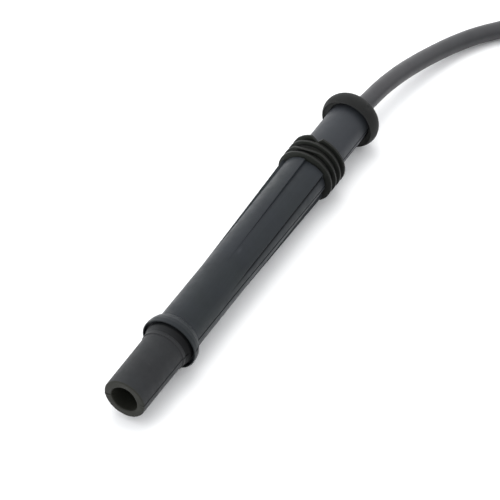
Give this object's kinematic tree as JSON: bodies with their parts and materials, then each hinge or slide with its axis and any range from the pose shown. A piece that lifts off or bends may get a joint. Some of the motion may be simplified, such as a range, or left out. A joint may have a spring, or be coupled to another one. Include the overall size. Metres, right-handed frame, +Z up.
{
  "type": "spark plug wire",
  "caption": "Long push-on plug boot with rigid stepped extension, finned well seal and rounded cap, on a thick ignition cable with a straight boot at its far end.",
  "frame": {"origin": "on the surface the wire lies on, under the middle of the plug boot", "axes": "+Z up; +Y along the plug boot from its open end to the cable; +X to the right, the side the cable bends to"},
  "size_m": [0.1368, 0.2885, 0.0233],
  "materials": {
    "tip_rubber": "matte, dark grey black",
    "tube_plastic": "satin, charcoal",
    "seal_rubber": "near black, soft satin",
    "cap_rubber": "matte black",
    "cable_jacket": "satin, grey black",
    "tie_rubber": "matte black strap",
    "terminal_brass": "bright",
    "spring_steel": "drawn, plain",
    "resistor_ceramic": "unglazed, off white"
  },
  "bodies": {
    "root": {"plug_boot_tip": "tip_rubber", "extension_tube": "tube_plastic", "well_seal": "seal_rubber", "cable_end_cap": "cap_rubber", "plug_terminal": "terminal_brass", "terminal_spring_ring": "spring_steel", "contact_spring": "spring_steel", "resistor_cap_front": "terminal_brass", "suppression_resistor": "resistor_ceramic", "resistor_cap_rear": "terminal_brass", "connecting_rod": "spring_steel", "cable_terminal": "terminal_brass", "ignition_cable": "cable_jacket", "cable_coil": "cable_jacket", "coil_tie": "tie_rubber", "cable_tail": "cable_jacket", "coil_boot": "cap_rubber", "coil_terminal": "terminal_brass"}
  },
  "joints": []
}
